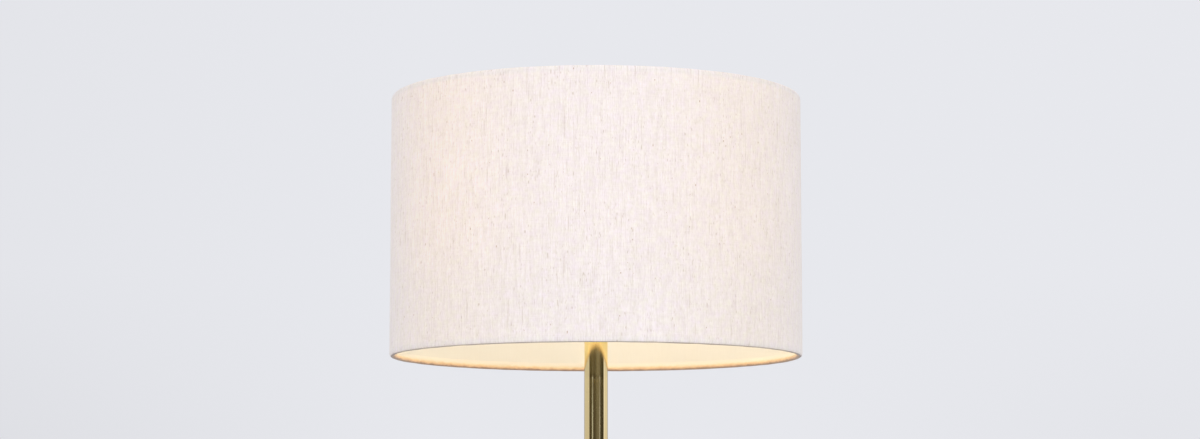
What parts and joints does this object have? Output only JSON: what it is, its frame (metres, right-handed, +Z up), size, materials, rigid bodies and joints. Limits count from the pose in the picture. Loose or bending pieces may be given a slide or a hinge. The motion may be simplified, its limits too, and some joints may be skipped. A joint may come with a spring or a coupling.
{
  "type": "tripod table lamp",
  "caption": "Table lamp with a linen drum shade on a harp, a slim polished brass stem and a splayed tripod base on ball feet.",
  "frame": {"origin": "on the stem's axis, in the plane that the three feet stand on", "axes": "+Z up along the stem; -Y is the front, where the switch key points; +X to the right"},
  "size_m": [0.3499, 0.35, 0.6129],
  "materials": {
    "brass": "polished and lacquered",
    "raw_brass": "plain turned",
    "holder_brass": "pressed, bright plated",
    "steel": "zinc plated",
    "black_steel": "blackened",
    "rubber": "moulded, matt",
    "black_plastic": "moulded",
    "white_plastic": "moulded",
    "fibre": "pressed fibre",
    "spindle_steel": "turned",
    "brown_lead": "extruded insulation",
    "blue_lead": "extruded insulation",
    "green_lead": "extruded insulation",
    "solder": "soldered tip",
    "black_glass": "glassy",
    "nickel": "plated, bright",
    "frosted_glass": "frosted inside, lit",
    "clear_glass": "clear",
    "tungsten": "drawn wire",
    "linen": "plain weave with slubs",
    "shade_lining": "stiff film, matt",
    "white_wire": "powder coated"
  },
  "bodies": {
    "lamp": {"foot_pads": "rubber", "feet": "brass", "leg_1": "brass", "leg_2": "brass", "leg_3": "brass", "leg_ferrules": "brass", "leg_grub_screws": "black_steel", "tripod_hub": "brass", "hub_cup": "brass", "cup_screws": "brass", "inlet_bush": "black_plastic", "terminal_block": "white_plastic", "terminal_screws": "steel", "block_screw": "steel", "earth_tag": "steel", "hub_washer": "steel", "hub_nut": "raw_brass", "threaded_tube": "raw_brass", "stem_collar": "brass", "stem": "brass", "stem_cap": "brass", "harp_saddle": "brass", "harp": "brass", "lampholder_cap": "holder_brass", "lampholder_shell": "holder_brass", "lampholder_liner": "fibre", "lampholder_body": "black_plastic", "screw_shell": "raw_brass", "centre_contact": "raw_brass", "lampholder_screws": "raw_brass", "switch_bush": "black_plastic", "live_lead": "brown_lead", "neutral_lead": "blue_lead", "earth_lead": "green_lead"},
    "shade": {"shade_linen": "linen", "shade_liner": "shade_lining", "top_ring": "white_wire", "bottom_ring": "white_wire", "spider": "white_wire"},
    "finial": {"finial": "brass"},
    "bulb": {"bulb_contact": "solder", "bulb_insulator": "black_glass", "bulb_cap": "nickel", "bulb_glass": "frosted_glass", "bulb_mount": "clear_glass", "filament_supports": "tungsten", "filament": "tungsten"},
    "switch": {"switch_spindle": "spindle_steel", "switch_key": "black_plastic"},
    "sleeve_left": {"harp_sleeve_left": "brass"},
    "sleeve_right": {"harp_sleeve_right": "brass"}
  },
  "joints": [
    {"name": "shade_swivel", "type": "hinge", "parent": "lamp", "child": "shade", "pos_m": [0, 0, 0.58736], "axis": [0, 0, 1], "continuous": true},
    {"name": "finial_turn", "type": "hinge", "parent": "lamp", "child": "finial", "pos_m": [0, 0, 0.58736], "axis": [0, 0, 1], "continuous": true},
    {"name": "bulb_turn", "type": "hinge", "parent": "lamp", "child": "bulb", "pos_m": [0, 0, 0.44216], "axis": [0, 0, 1], "continuous": true},
    {"name": "switch_turn", "type": "hinge", "parent": "lamp", "child": "switch", "pos_m": [0, -0.01785, 0.43136], "axis": [0, -1, 0], "continuous": true},
    {"name": "sleeve_left_lift", "type": "slide", "parent": "lamp", "child": "sleeve_left", "axis": [0, 0, 1], "range_m": [0, 0.012]},
    {"name": "sleeve_right_lift", "type": "slide", "parent": "lamp", "child": "sleeve_right", "axis": [0, 0, 1], "range_m": [0, 0.012]}
  ]
}
